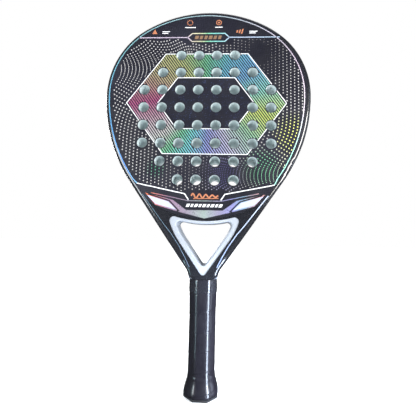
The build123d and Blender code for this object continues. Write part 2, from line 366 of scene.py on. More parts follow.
def cap_plastic():
    """Moulded black plastic with a fine spark-eroded grain, rubbed smoother low down."""
    finish = Finish("grained_black_plastic", (0.02, 0.02, 0.023), 0.5)
    grain = finish.noise(1900.0, 4.0)
    _, _, z = finish.axes()
    rubbed = finish.span(z, 0.0, 0.003, 0.36, 0.52)
    finish.colour(finish.mix(finish.noise(70.0), (0.014, 0.014, 0.016), (0.03, 0.03, 0.034)))
    finish.rough(finish.math("ADD", rubbed, finish.math("MULTIPLY", grain, 0.1)))
    finish.bump(grain, 0.4, 0.0002)
    return finish.material


FOIL_REACH = 0.07           # half the width that a foil's colours run across, in metres


def foil(name, centre, stops, strength=1.0):
    """Rainbow foil whose colour turns round a point of the face, or runs across it without one."""
    finish = Finish(name, stops[0][1], 0.34, Metallic=0.2, Coat_Weight=0.3, Coat_Roughness=0.2)
    wander = finish.math("MULTIPLY", finish.math("SUBTRACT", finish.noise(22.0), 0.5), 0.06)
    run = finish.round_face(centre) if centre else finish.span(finish.axes()[0], -FOIL_REACH, FOIL_REACH)
    hue = finish.ramp(finish.math("ADD", run, wander), stops)
    fleck = finish.span(finish.noise(1600.0, 2.0), 0.35, 0.65, 0.8 * strength, 1.1 * strength)
    scaled = finish.add("ShaderNodeVectorMath", {0: hue, "Scale": fleck}, operation="SCALE")
    finish.colour(scaled.outputs[0])
    finish.rough(finish.span(finish.noise(300.0), 0.3, 0.7, 0.26, 0.42))
    return finish.material


def ink(name, colour, spread=0.12):
    """Opaque screen ink with a slightly uneven film."""
    finish = Finish(name, colour, 0.4, Coat_Weight=0.25, Coat_Roughness=0.2)
    thin = tuple(channel * (1 - spread) for channel in colour)
    thick = tuple(min(1.0, channel * (1 + spread)) for channel in colour)
    finish.colour(finish.mix(finish.noise(350.0, 4.0), thin, thick))
    finish.rough(finish.span(finish.noise(200.0), 0.3, 0.7, 0.32, 0.48))
    finish.bump(finish.noise(1500.0), 0.1, 0.0001)
    return finish.material


def dot_ink():
    """Grey halftone ink that turns green and yellow low on the right."""
    finish = Finish("halftone_grey_ink", (0.3, 0.29, 0.28), 0.42, Coat_Weight=0.25, Coat_Roughness=0.2)
    x, _, z = finish.axes()
    grey = finish.mix(finish.noise(26.0), (0.28, 0.27, 0.28), (0.52, 0.51, 0.49))
    coloured = grey
    for spot_x, spot_z, reach, colour in DOT_TINTS:
        across = finish.math("SUBTRACT", x, spot_x * MM)
        up = finish.math("SUBTRACT", z, spot_z * MM)
        across_squared = finish.math("MULTIPLY", across, across)
        squares = finish.math("ADD", across_squared, finish.math("MULTIPLY", up, up))
        near = finish.span(finish.math("SQRT", squares), reach * MM, 0.3 * reach * MM)
        coloured = finish.mix(near, coloured, colour)
    finish.colour(coloured)
    return finish.material


# ---------------------------------------------------------------- the face's geometry, in millimetres

def rim_depth(x, z):
    """How far inside the head's outline a point lies, negative outside."""
    x = abs(x)
    up = z - widest_z
    if up >= 0 and math.atan2(z - crown_z, x) > CROWN_TURN:
        return crown_radius - math.hypot(x, z - crown_z)
    if up >= 0:
        return shoulder_radius - math.hypot(x - shoulder_x, up)
    if math.atan2(-up, x - flank_x) < ARM_ANGLE:
        return FLANK_RADIUS - math.hypot(x - flank_x, up)
    return (arm_top_x - x) * math.cos(ARM_ANGLE) - (arm_top_z - z) * math.sin(ARM_ANGLE)


def neck_fall(z):
    """How far the arms' flat faces have sunk below the head's at a height near the neck."""
    drop = face_out - NECK_HALF_DEPTH
    radius = (drop * drop + NECK_TAPER * NECK_TAPER) / (2 * drop)
    below = max(0.0, neck_z + NECK_TAPER - z)
    return radius - math.sqrt(radius * radius - below * below)


RIM_STEP = 2.0


def rim():
    """Points of the outline from the right arm over the crown to the left, with outward normals."""
    arcs = (
        (flank_x, widest_z, FLANK_RADIUS, -ARM_ANGLE, 0.0),
        (shoulder_x, widest_z, shoulder_radius, 0.0, CROWN_TURN),
        (0.0, crown_z, crown_radius, CROWN_TURN, math.pi / 2),
    )
    right = []
    for centre_x, centre_z, radius, start, stop in arcs:
        count = round(radius * (stop - start) / RIM_STEP)
        for i in range(count):
            angle = start + (stop - start) * i / count
            along = (math.cos(angle), math.sin(angle))
            right.append((centre_x + radius * along[0], centre_z + radius * along[1], *along))
    left = [(-x, z, -out_x, out_z) for x, z, out_x, out_z in reversed(right)]
    return right + [(0.0, crown_top, 0.0, 1.0)] + left


def hole_gap(x, z):
    """Distance from a point to the nearest hole's edge, negative inside the hole."""
    row = min(max(round((top_row_z - z) / HOLE_PITCH_Z), 0), len(HOLE_ROWS) - 1)
    middle = (HOLE_ROWS[row] - 1) / 2
    column = min(max(round(x / HOLE_PITCH_X + middle), 0), HOLE_ROWS[row] - 1)
    across = x - (column - middle) * HOLE_PITCH_X
    up = z - (top_row_z - row * HOLE_PITCH_Z)
    return math.hypot(across, up) - HOLE_RADIUS


def inside(outline, x, z):
    """Whether a point is in a convex outline that runs anticlockwise."""
    for (x0, z0), (x1, z1) in zip(outline, outline[1:] + outline[:1]):
        if (x1 - x0) * (z - z0) < (z1 - z0) * (x - x0):
            return False
    return True


def shrunk(outline, inset):
    """A convex anticlockwise outline moved in by inset, with its corners mitred."""
    moved = []
    behind = outline[-1:] + outline[:-1]
    ahead = outline[1:] + outline[:1]
    for (ax, az), (bx, bz), (cx, cz) in zip(behind, outline, ahead):
        before = Vector((bx - ax, bz - az)).normalized()
        after = Vector((cx - bx, cz - bz)).normalized()
        inward = Vector((-before.y - after.y, before.x + after.x)).normalized()
        reach = inset / inward.dot(Vector((-before.y, before.x)))
        moved.append((bx + inward.x * reach, bz + inward.y * reach))
    return moved


def mirrored(points):
    return [(-x, z) for x, z in points]


def walked(path, step, closed=False):
    """The path's points with more between them, step apart."""
    ends = path[1:] + path[:1] if closed else path[1:]
    points = []
    for (x0, z0), (x1, z1) in zip(path, ends):
        count = max(1, round(math.hypot(x1 - x0, z1 - z0) / step))
        points += [(x0 + (x1 - x0) * i / count, z0 + (z1 - z0) * i / count) for i in range(count)]
    return points + [path[0] if closed else path[-1]]


def stretches(points, keep):
    """The runs of neighbouring points that keep accepts."""
    runs = [[]]
    for point in points:
        if keep(*point):
            runs[-1].append(point)
        elif runs[-1]:
            runs.append([])
    return [run for run in runs if len(run) > 1]


# ---------------------------------------------------------------- printed pieces

class Print:
    """Flat closed shapes on one face, each a film that stands a little proud of the skin."""

    SUNK = 0.02
    LOOP_STEP = 0.5
    HOLE_MARGIN = 0.3
    LEAST_MITRE = 0.3

    def __init__(self, name, side, height, finish, slot):
        self.name = f"{name}_{'front' if side == FRONT else 'rear'}"
        self.side, self.height, self.finish, self.slot = side, height, finish, slot
        self.vertices, self.faces = [], []

    def corner(self, x, z, out):
        """Adds a vertex and returns its number."""
        out += face_out - neck_fall(z)
        self.vertices.append((-self.side * x * MM, self.side * out * MM, z * MM))
        return len(self.vertices) - 1

    def shape(self, outline):
        """A filled outline."""
        area = sum(x0 * z1 - x1 * z0 for (x0, z0), (x1, z1) in zip(outline, outline[1:] + outline[:1]))
        if area < 0:
            outline = outline[::-1]
        top = [self.corner(x, z, self.height) for x, z in outline]
        under = [self.corner(x, z, -self.SUNK) for x, z in outline]
        self.faces += [top, under[::-1]]
        for i in range(len(top)):
            j = (i + 1) % len(top)
            self.faces.append([top[i], under[i], under[j], top[j]])

    def line(self, path, width, closed=False):
        """A line of even width with mitred corners."""
        count = len(path)
        rails = []
        for i, (x, z) in enumerate(path):
            behind = path[i - 1] if closed or i else path[0]
            ahead = path[(i + 1) % count] if closed or i < count - 1 else path[-1]
            into = Vector((x - behind[0], z - behind[1]))
            out = Vector((ahead[0] - x, ahead[1] - z))
            into = (into if into.length else out).normalized()
            out = (out if out.length else into).normalized()
            left = Vector((-into.y - out.y, into.x + out.x)).normalized()
            reach = width / 2 / max(self.LEAST_MITRE, left.dot(Vector((-into.y, into.x))))
            rails.append([self.corner(x + s * left.x * reach, z + s * left.y * reach, out_by)
                          for s in (1, -1) for out_by in (self.height, -self.SUNK)])
        for i in range(count if closed else count - 1):
            a, b = rails[i], rails[(i + 1) % count]
            self.faces += [[a[2], b[2], b[0], a[0]], [a[1], b[1], b[3], a[3]],
                           [a[2], a[3], b[3], b[2]], [b[0], b[1], a[1], a[0]]]
        if not closed:
            a, b = rails[0], rails[-1]
            self.faces += [[a[0], a[1], a[3], a[2]], [b[2], b[3], b[1], b[0]]]

    def broken_loop(self, path, width):
        """A closed line that stops short of the holes."""
        points = walked(path, self.LOOP_STEP, closed=True)
        for run in stretches(points, lambda x, z: hole_gap(x, z) > self.HOLE_MARGIN):
            self.line(run, width)

    def finish_piece(self):
        mesh = bpy.data.meshes.new(self.name)
        mesh.from_pydata(self.vertices, [], self.faces)
        mesh.materials.append(self.finish)
        return ready(bpy.data.objects.new(self.name, mesh), self.slot)


def ready(piece, slot, *replaced):
    """Links a finished piece, lets it ride and hides the imported parts it replaces."""
    bpy.context.scene.collection.objects.link(piece)
    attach(piece, "root")
    if replaced:
        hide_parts(*replaced)
    return piece


# ---------------------------------------------------------------- repeated marks, by Geometry Nodes

class Tree(NodeWork):
    """A Geometry Nodes tree under construction, with named inputs."""

    def __init__(self, name):
        self.tree = bpy.data.node_groups.new(name, "GeometryNodeTree")
        self.tree.interface.new_socket("Geometry", in_out="INPUT", socket_type="NodeSocketGeometry")
        self.tree.interface.new_socket("Geometry", in_out="OUTPUT", socket_type="NodeSocketGeometry")
        self.names = {}
        self.entry = self.tree.nodes.new("NodeGroupInput")

    def named(self, name, kind):
        """Adds a named input and returns its socket in the tree."""
        item = self.tree.interface.new_socket(name, in_out="INPUT", socket_type="NodeSocket" + kind)
        self.names[name] = item.identifier
        return self.entry.outputs[name]

    def close(self, instances, finish):
        """Realizes the instances, gives them their finish and ends the tree."""
        real = self.add("GeometryNodeRealizeInstances", {"Geometry": instances})
        painted = self.add("GeometryNodeSetMaterial", {"Geometry": real.outputs[0], "Material": finish})
        self.add("NodeGroupOutput", {"Geometry": painted.outputs[0]})
        return self


def dots_tree():
    """Round dots on points, lying on the face, each scaled by the point's own size."""
    tree = Tree("ink_dots")
    radius = tree.named("Dot Radius", "Float")
    height = tree.named("Film Height", "Float")
    sides = tree.named("Dot Sides", "Int")
    finish = tree.named("Ink", "Material")
    disc = tree.add("GeometryNodeMeshCylinder", {"Vertices": sides, "Radius": radius, "Depth": height})
    size = tree.add("GeometryNodeInputNamedAttribute", {"Name": "size"}, data_type="FLOAT").outputs[0]
    scale = tree.add("ShaderNodeCombineXYZ", {0: size, 1: size, 2: 1.0})
    sockets = {"Points": tree.entry.outputs["Geometry"], "Instance": disc.outputs["Mesh"],
               "Rotation": (math.pi / 2, 0.0, 0.0), "Scale": scale.outputs[0]}
    return tree.close(tree.add("GeometryNodeInstanceOnPoints", sockets).outputs[0], finish)


def bars_tree():
    """Straight bars on points, lying on the face at one slant, each as long as the point says."""
    tree = Tree("hatch_bars")
    width = tree.named("Bar Width", "Float")
    height = tree.named("Film Height", "Float")
    slant = tree.named("Slant", "Float")
    finish = tree.named("Ink", "Material")
    section = tree.add("ShaderNodeCombineXYZ", {0: 1.0, 1: height, 2: width})
    bar = tree.add("GeometryNodeMeshCube", {"Size": section.outputs[0]})
    length = tree.add("GeometryNodeInputNamedAttribute", {"Name": "size"}, data_type="FLOAT").outputs[0]
    scale = tree.add("ShaderNodeCombineXYZ", {0: length, 1: 1.0, 2: 1.0})
    turn = tree.add("ShaderNodeCombineXYZ", {0: 0.0, 1: slant, 2: 0.0})
    sockets = {"Points": tree.entry.outputs["Geometry"], "Instance": bar.outputs["Mesh"],
               "Rotation": turn.outputs[0], "Scale": scale.outputs[0]}
    return tree.close(tree.add("GeometryNodeInstanceOnPoints", sockets).outputs[0], finish)


def marks(name, side, tree, places, slot, **inputs):
    """Plain mesh of a tree's marks on (x, z, size) places of one face."""
    points = bpy.data.meshes.new(name + "_points")
    half_film = inputs["Film_Height"] / 2
    out = side * (face_out * MM + half_film - Print.SUNK * MM)
    points.from_pydata([(-side * x * MM, out, z * MM) for x, z, _ in places], [], [])
    sizes = points.attributes.new("size", "FLOAT", "POINT")
    sizes.data.foreach_set("value", [size for _, _, size in places])
    holder = bpy.data.objects.new(name + "_points", points)
    bpy.context.scene.collection.objects.link(holder)
    modifier = holder.modifiers.new("marks", "NODES")
    modifier.node_group = tree.tree
    for key, value in inputs.items():
        modifier[tree.names[key.replace("_", " ")]] = value
    evaluated = holder.evaluated_get(bpy.context.evaluated_depsgraph_get())
    mesh = bpy.data.meshes.new_from_object(evaluated)
    holder.modifiers.remove(modifier)
    bpy.data.objects.remove(holder)
    full_name = f"{name}_{'front' if side == FRONT else 'rear'}"
    mesh.name = full_name
    return ready(bpy.data.objects.new(full_name, mesh), slot)


# ---------------------------------------------------------------- what is printed on a face

# Films, in millimetres: how far a drawn shape stands proud, or how thick a repeated mark is
THIN_FILM = 0.05
FILM = 0.06
GAP_FILM = 0.065
MARK_FILM = 0.07
WING_FILM = 0.08

MARK_CENTRE = (-1.5, 335.6)
MARK_HALF_WIDTH = 96.0
MARK_HALF_HEIGHT = 62.8
MARK_FLAT = 50.0            # half the length of its level sides
MARK_BAND = 31.0
OUTLINE_WIDTH = 0.85
HATCH_PITCH = 2.6
HATCH_WIDTH = 1.15
HATCH_SLANT = math.radians(-55.0)
HATCH_MARGIN = 0.4           # between a bar's end and a hole


def mark_outline():
    """Wide hexagon in the middle of the face."""
    x, z = MARK_CENTRE
    corners = ((MARK_HALF_WIDTH, 0), (MARK_FLAT, MARK_HALF_HEIGHT), (-MARK_FLAT, MARK_HALF_HEIGHT))
    upper = [(x + a, z + b) for a, b in corners]
    return upper + [(x - a, z - b) for a, b in corners]


def hatch_places(outer, inner):
    """Centre and length of every bar between two outlines, clear of the holes."""
    along = (math.cos(HATCH_SLANT), math.sin(HATCH_SLANT))
    half_run = MARK_HALF_WIDTH + MARK_HALF_HEIGHT
    rows = int(half_run / HATCH_PITCH)
    places = []
    for row in range(-rows, rows + 1):
        start_x = MARK_CENTRE[0] - along[1] * row * HATCH_PITCH
        start_z = MARK_CENTRE[1] + along[0] * row * HATCH_PITCH
        ends = [(start_x + s * half_run * along[0], start_z + s * half_run * along[1]) for s in (-1, 1)]

        def printed(x, z):
            return inside(outer, x, z) and not inside(inner, x, z) and hole_gap(x, z) > HATCH_MARGIN

        for run in stretches(walked(ends, 0.4), printed):
            (x0, z0), (x1, z1) = run[0], run[-1]
            places.append(((x0 + x1) / 2, (z0 + z1) / 2, math.hypot(x1 - x0, z1 - z0) * MM))
    return places


def big_mark(side, finishes, bars):
    """Hexagon ring: rainbow hatch between two white outlines."""
    outer = mark_outline()
    inner = shrunk(outer, MARK_BAND)
    outlines = Print("mark_outline", side, MARK_FILM, finishes["white"], "ink_print")
    outlines.broken_loop(shrunk(outer, OUTLINE_WIDTH / 2), OUTLINE_WIDTH)
    outlines.broken_loop(inner, OUTLINE_WIDTH)
    outlines.finish_piece()
    places = hatch_places(shrunk(outer, OUTLINE_WIDTH), shrunk(outer, MARK_BAND - OUTLINE_WIDTH / 2))
    marks("mark_hatch", side, bars, places, "foil_print", Bar_Width=HATCH_WIDTH * MM,
          Film_Height=MARK_FILM * MM, Slant=side * HATCH_SLANT, Ink=finishes["mark"])


V_OUTER = (79.5, 237.6)
V_KNEE = (23.2, 226.0)
V_FOOT = (18.6, 219.0)
BROW_Z = 419.5
BROW_HALF = 86.5
BROW_CLEAR = 2.6             # bare ground beside each printed piece, in millimetres
PANEL_CLEAR = 2.4
MARK_CLEAR = 1.8
HOLE_CLEAR = 1.0
MIDDLE_RISE = 3.0               # more bare ground over the middle of the panel
SIGNS_HALF = 78.0            # the signs over the brow fill this half width
BADGE_GROUND = (30.0, 8.0)   # half width and drop kept bare for the badge


def clear_of_print(x, z):
    """Whether the ground at a point is free for halftone dots."""
    across = abs(x)
    slope = (V_OUTER[1] - V_KNEE[1]) / (V_OUTER[0] - V_KNEE[0])
    floor_z = V_KNEE[1] + slope * (across - V_KNEE[0]) if across > V_KNEE[0] else V_KNEE[1] + MIDDLE_RISE
    above_panel = z > floor_z + PANEL_CLEAR
    off_brow = abs(z - BROW_Z) > BROW_CLEAR and (z < BROW_Z or across > SIGNS_HALF)
    badge = across < BADGE_GROUND[0] and z > BROW_Z - BADGE_GROUND[1]
    outside_mark = not inside(shrunk(mark_outline(), -MARK_CLEAR), x, z)
    return above_panel and off_brow and not badge and outside_mark and hole_gap(x, z) > HOLE_CLEAR


DOT_COLUMN = 4.5
DOT_STEP = 3.7
WAVE_UP = (378.0, 40.0, 34.0)       # height, spread and reach of the swell at the upper left
WAVE_DOWN = (248.0, 34.0, 30.0)     # and of the one at the lower right
LEFT_EDGE = -40.0                   # each wave dies out towards the middle round these places
RIGHT_EDGE = 30.0
EDGE_BLEND = 14.0
CREST_UP = 17.0                     # how far from its crest each wave still closes up its dots
CREST_DOWN = 14.0
CLOSE_STEP = 1.25
FAINT_SPOT = (62.0, 398.0, 34.0, 40.0)      # x, z and the two spreads of the spot at the upper right
MIDDLE_SPOT = (0.0, 252.0, 60.0, 24.0)      # and of the one over the panel
DOTS_FROM_RIM = 9.6
LEAST_DOT = 0.35


def swell(z, wave):
    height, spread, reach = wave
    return reach * math.exp(-((z - height) / spread) ** 2)


def fading(x, z, spot):
    """1 in the middle of a spot, fading to 0 round it."""
    middle_x, middle_z, spread_x, spread_z = spot
    return math.exp(-((x - middle_x) / spread_x) ** 2 - ((z - middle_z) / spread_z) ** 2)


def dot_places():
    """Halftone dots in wavy columns that close up into lines where they bend."""
    places = []
    columns = int(1.6 * half_width / DOT_COLUMN)
    for column in range(-columns, columns + 1):
        base = column * DOT_COLUMN
        z = V_KNEE[1] + (column % 2) * DOT_STEP / 2
        while z < crown_top:
            left = 1 / (1 + math.exp((base - LEFT_EDGE) / EDGE_BLEND))
            right = 1 / (1 + math.exp((RIGHT_EDGE - base) / EDGE_BLEND))
            x = base + left * swell(z, WAVE_UP) - right * swell(z, WAVE_DOWN)
            bend_up = left * math.exp(-((z - WAVE_UP[0]) / CREST_UP) ** 2)
            bend_down = right * math.exp(-((z - WAVE_DOWN[0]) / CREST_DOWN) ** 2)
            close = max(bend_up, bend_down)
            faint = fading(x, z, FAINT_SPOT)
            middle = fading(x, z, MIDDLE_SPOT)
            size = (1 - 0.42 * close) * (1 - 0.75 * faint) * (1 - 0.5 * middle)
            if rim_depth(x, z) > DOTS_FROM_RIM and size > LEAST_DOT and clear_of_print(x, z):
                places.append((x, z, size))
            z += DOT_STEP + (CLOSE_STEP - DOT_STEP) * close
    return places


SPECK_SEED = 7
SPECK_TRIES = 520
SPECK_INSET = 3.0
SPECK_HOLE_CLEAR = 0.8


def speck_places():
    """Fine specks in the dark middle of the mark."""
    draw = random.Random(SPECK_SEED)
    inner = shrunk(mark_outline(), MARK_BAND + SPECK_INSET)
    reach_x, reach_z = inner[0][0] - MARK_CENTRE[0], inner[1][1] - MARK_CENTRE[1]
    places = []
    for _ in range(SPECK_TRIES):
        x = MARK_CENTRE[0] + draw.uniform(-reach_x, reach_x)
        z = MARK_CENTRE[1] + draw.uniform(-reach_z, reach_z)
        size = draw.uniform(0.35, 1.0)
        if inside(inner, x, z) and hole_gap(x, z) > SPECK_HOLE_CLEAR:
            places.append((x, z, size))
    return places


TRIM_WIDTH = 1.1
TRIM_INSET = 6.8
TRIM_SHIFT = 1.7             # how much closer to the edge it runs on the left than in the middle


def trim_line(side, finishes):
    """Foil line that follows the edge of the face, closer to it on the left."""
    line = Print("trim_line", side, FILM, finishes["trim"], "foil_print")
    path = []
    for x, z, out_x, out_z in rim():
        inset = TRIM_INSET + TRIM_SHIFT * x / half_width
        path.append((x - out_x * inset, z - out_z * inset))
    line.line([V_OUTER] + path + mirrored([V_OUTER]), TRIM_WIDTH)
    line.finish_piece()


ARM_HIGHLIGHT_PATH = [(72.6, 225.0), (57.6, 205.5), (46.0, 190.5), (37.6, 180.5), (27.8, 166.3), (20.6, 153.2),
            (15.6, 143.0)]
# The painted highlight is wider on the right arm, where the light falls
ARM_HIGHLIGHT_WIDTHS = (1.1, 0.6)     # on the right arm and on the left
ARM_HIGHLIGHT_STEP = 3.0


def painted_arm_highlights(side, finishes):
    """Painted highlight: a thin bright line up each arm, from the crotch's side to the head's edge, wider
    and brighter on the right where the light falls.
    """
    lines = Print("painted_arm_highlights", side, THIN_FILM, finishes["edge"], "foil_print")
    for path, width in zip((ARM_HIGHLIGHT_PATH, mirrored(ARM_HIGHLIGHT_PATH)), ARM_HIGHLIGHT_WIDTHS):
        lines.line(walked(path, ARM_HIGHLIGHT_STEP), width)
    lines.finish_piece()


BROW_WIDTH = 1.2
BADGE_LINE_WIDTH = 1.3
BADGE_TIP = 25.5             # half width of the badge at its tips
BADGE_FLAT = 20.0            # and along its top and bottom
BADGE_HALF_HEIGHT = 5.2
BADGE_BLOCKS = 6
BADGE_BLOCK_HEIGHT = 4.6


def brow(side, finishes):
    """Foil line across the top with a badge of slanted blocks in its middle."""
    line = Print("brow_line", side, FILM, finishes["brow"], "foil_print")
    low, high = BROW_Z - BADGE_HALF_HEIGHT, BROW_Z + BADGE_HALF_HEIGHT
    badge = [(-BADGE_TIP, BROW_Z), (-BADGE_FLAT, high), (BADGE_FLAT, high), (BADGE_TIP, BROW_Z),
             (BADGE_FLAT, low), (-BADGE_FLAT, low)]
    line.line([(-BROW_HALF, BROW_Z), (-BADGE_TIP, BROW_Z)], BROW_WIDTH)
    line.line([(BADGE_TIP, BROW_Z), (BROW_HALF, BROW_Z)], BROW_WIDTH)
    line.line(badge[::-1], BADGE_LINE_WIDTH, closed=True)
    line.finish_piece()
    blocks = Print("badge_blocks", side, FILM, finishes["gold"], "ink_print")
    for i in range(BADGE_BLOCKS):
        slanted_block(blocks, -14.2 + 5.6 * i, BROW_Z, 3.6 if i % 3 else 4.4, BADGE_BLOCK_HEIGHT)
    blocks.finish_piece()


def slanted_block(layer, x, z, width, height, lean=0.28):
    """A parallelogram that leans to the right, centred on a point."""
    low, high = z - height / 2, z + height / 2
    shift = lean * height / 2
    layer.shape([(x - width / 2 - shift, low), (x + width / 2 - shift, low),
                 (x + width / 2 + shift, high), (x - width / 2 + shift, high)])


TRIANGLE_SIGN = [(-69.6, 424.4), (-63.2, 424.4), (-66.4, 430.4)]
BEAD_RING = (-23.1, 439.0, 3.2, 10)      # x, z, radius and number of beads
TARGET = (12.4, 439.0)
STAIR = (35.0, 427.2)
SIGN_BARS = (                            # x, z and length of the bars beside and under the signs
    (-52.5, 427.4, 9.0),
    (-53.4, 425.2, 7.0),
    (-22.6, 432.6, 13.0),
    (12.4, 432.8, 9.0),
    (54.6, 427.2, 10.0),
    (53.4, 425.0, 7.6),
)
SIGN_BAR_HEIGHT = 1.0


def top_signs(side, finishes):
    """Four small orange signs near the crown, each with a light bar under it or beside it."""
    signs = Print("crown_signs", side, FILM, finishes["orange"], "ink_print")
    signs.shape(TRIANGLE_SIGN)
    for x, z in polygon(*BEAD_RING):
        signs.shape(polygon(x, z, 0.7, 8))
    signs.line(polygon(*TARGET, 3.0, 18)[::-1], 0.9, closed=True)
    signs.shape(polygon(*TARGET, 1.2, 10))
    for i in range(3):
        slanted_block(signs, STAIR[0] + 3.0 * i, STAIR[1], 1.7, 3.2 + 1.6 * i)
    signs.finish_piece()
    bars = Print("crown_bars", side, FILM, finishes["white"], "ink_print")
    for x, z, length in SIGN_BARS:
        slanted_block(bars, x, z, length, SIGN_BAR_HEIGHT)
    bars.finish_piece()


def polygon(x, z, radius, sides):
    """Regular outline round a point, anticlockwise."""
    turns = [2 * math.pi * i / sides for i in range(sides)]
    return [(x + radius * math.cos(turn), z + radius * math.sin(turn)) for turn in turns]


PANEL_TIP = (69.0, 226.4)
PANEL_SHOULDER = (36.6, 218.6)
BOX_FOOT = (21.0, 207.2)
PANEL_LOW = (56.8, 212.6)
PANEL_HIP = (26.6, 204.3)
PANEL_APEX = (0.0, 197.8)
PANEL_RIDGE = [(-62.0, 226.6), (-19.0, 218.0), (19.0, 218.0), (62.0, 227.4)]
WING = [(67.0, 223.9), (42.0, 216.6), (32.6, 207.6), (57.0, 214.0)]
WING_GAP = [(66.0, 225.2), (40.6, 217.6), (29.4, 206.2), (31.8, 205.9)]
RIDGE_WIDTH = 0.8
GAP_WIDTH = 1.5
V_WIDTH = 1.15
PANEL_BLOCKS = 9
PANEL_BLOCKS_Z = 212.6
FLOURISH_WIDTH = 1.7
UNDERLINE_WIDTH = 0.9


def lower_panel(side, finishes):
    """Winged panel over the bridge: foil body, pale wings, dark gaps and plain blocks in its middle."""
    body = Print("panel_body", side, THIN_FILM, finishes["panel"], "foil_print")
    right = [PANEL_SHOULDER, PANEL_TIP, PANEL_LOW, PANEL_HIP, BOX_FOOT]
    body.shape(right)
    body.shape(mirrored(right))
    body.shape([BOX_FOOT, PANEL_HIP, PANEL_APEX, mirrored([PANEL_HIP])[0], mirrored([BOX_FOOT])[0]])
    body.line(PANEL_RIDGE, RIDGE_WIDTH)
    body.finish_piece()
    gaps = Print("panel_gaps", side, GAP_FILM, finishes["black"], "ink_print")
    wings = Print("panel_wings", side, WING_FILM, finishes["silver"], "ink_print")
    for flip in (list, mirrored):
        gaps.line(flip(WING_GAP), GAP_WIDTH)
        wings.shape(flip(WING))
    gaps.finish_piece()
    wings.finish_piece()
    blocks = Print("panel_blocks", side, FILM, finishes["white"], "ink_print")
    for i in range(PANEL_BLOCKS):
        slanted_block(blocks, -19.0 + 4.7 * i, PANEL_BLOCKS_Z, 3.5 - 0.9 * (i % 2), 3.5, 0.5)
    blocks.finish_piece()
    lines = Print("v_lines", side, FILM, finishes["white"], "ink_print")
    for flip in (list, mirrored):
        lines.line(flip([V_OUTER, V_KNEE, V_FOOT]), V_WIDTH)
    lines.finish_piece()
    flourish = Print("orange_flourish", side, FILM, finishes["orange"], "ink_print")
    wave = [(-15.5 + 0.5 * i, 223.6 + 2.9 * math.sin(0.42 * i) * (1 - i / 90)) for i in range(63)]
    flourish.line(wave, FLOURISH_WIDTH)
    flourish.line([(-13.0, 220.4), (16.0, 221.2)], UNDERLINE_WIDTH)
    flourish.finish_piece()


DOT_RADIUS = 0.82
SPECK_RADIUS = 0.42


def printed_face(side, finishes, dots, bars):
    """Everything printed on one face."""
    big_mark(side, finishes, bars)
    film = FILM * MM
    marks("halftone_dots", side, dots, dot_places(), "ink_print", Dot_Radius=DOT_RADIUS * MM,
          Film_Height=film, Dot_Sides=8, Ink=finishes["dots"])
    marks("mark_specks", side, dots, speck_places(), "ink_print", Dot_Radius=SPECK_RADIUS * MM,
          Film_Height=film, Dot_Sides=6, Ink=finishes["specks"])
    trim_line(side, finishes)
    painted_arm_highlights(side, finishes)
    brow(side, finishes)
    top_signs(side, finishes)
    lower_panel(side, finishes)


# ---------------------------------------------------------------- the handle, in millimetres

PALLET_HALF_WIDTH = 12.9
PALLET_HALF_DEPTH = 13.6
PALLET_BEVEL = 7.0
GRIP_THICKNESS = 2.4
CAP_SKIRT = 0.6
CAP_FLARE = 4.2
CAP_FULL_Z = 4.0
GRIP_STEP = 3.0
TOP_SWELL = 0.65
TOP_SWELL_REACH = 30.0      # from the tape's foot down
WRAP_PITCH = 21.3
WRAP_START = 28.6           # height of a seam at the middle of the front
ROUND = 15                  # how crisp the handle's eight edges are under the wrap

grip_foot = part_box("base_grip")[0].z / MM
tape_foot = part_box("finishing_tape")[0].z / MM
cap_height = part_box("butt_cap")[1].z / MM


def octagon_reach(growth, angle):
    """Distance from the axis to the softened eight-sided section, grown by growth."""
    wide = PALLET_HALF_WIDTH + growth
    deep = PALLET_HALF_DEPTH + growth
    bevel = PALLET_BEVEL + growth * (2 - math.sqrt(2))
    slanted = (wide + deep - bevel) / math.sqrt(2)
    total = 0.0
    for i, reach in enumerate((wide, slanted, deep, slanted) * 2):
        facing = math.cos(angle - i * math.pi / 4)
        if facing > 0:
            total += (facing / reach) ** ROUND
    return total ** (-1 / ROUND)


def cap_flare(z):
    """How far the cap under the grip stands out past the pallet."""
    if z > cap_height:
        return max(0.0, CAP_SKIRT * (1 - (z - cap_height) / GRIP_STEP))
    turn = min(1.0, (cap_height - z) / (cap_height - CAP_FULL_Z))
    return CAP_SKIRT + (CAP_FLARE - CAP_SKIRT) * (1 - math.cos(math.pi * turn)) / 2


def top_swell(z):
    """How much the wraps thicken the handle towards the neck."""
    rise = min(1.0, max(0.0, (z - tape_foot + TOP_SWELL_REACH) / TOP_SWELL_REACH))
    return TOP_SWELL * rise * rise * (3 - 2 * rise)


LAP_RISE = 0.34
SEAM_DEPTH = 0.42
PILLOW_RISE = 0.1
RELIEF_SUNK = 0.2            # how far the relief as a whole is let in
LAP_RUN = 0.16               # lap and seam, as shares of the pitch
SEAM_RUN = 0.012
RELIEF_FADE = 2.0            # below the tape's foot


def seam_relief(z, angle):
    """Raised lap and sunk seam of the wound strip."""
    from_front = (angle + math.pi / 2) / (2 * math.pi)
    phase = ((z - WRAP_START) / WRAP_PITCH - from_front) % 1.0
    lap = LAP_RISE * math.exp(-phase / LAP_RUN)
    seam = SEAM_DEPTH * math.exp(-(min(phase, 1 - phase) / SEAM_RUN) ** 2)
    pillow = PILLOW_RISE * math.sin(math.pi * phase)
    fade = min(1.0, max(0.0, (tape_foot - z) / RELIEF_FADE))
    return (lap - seam + pillow - RELIEF_SUNK) * fade


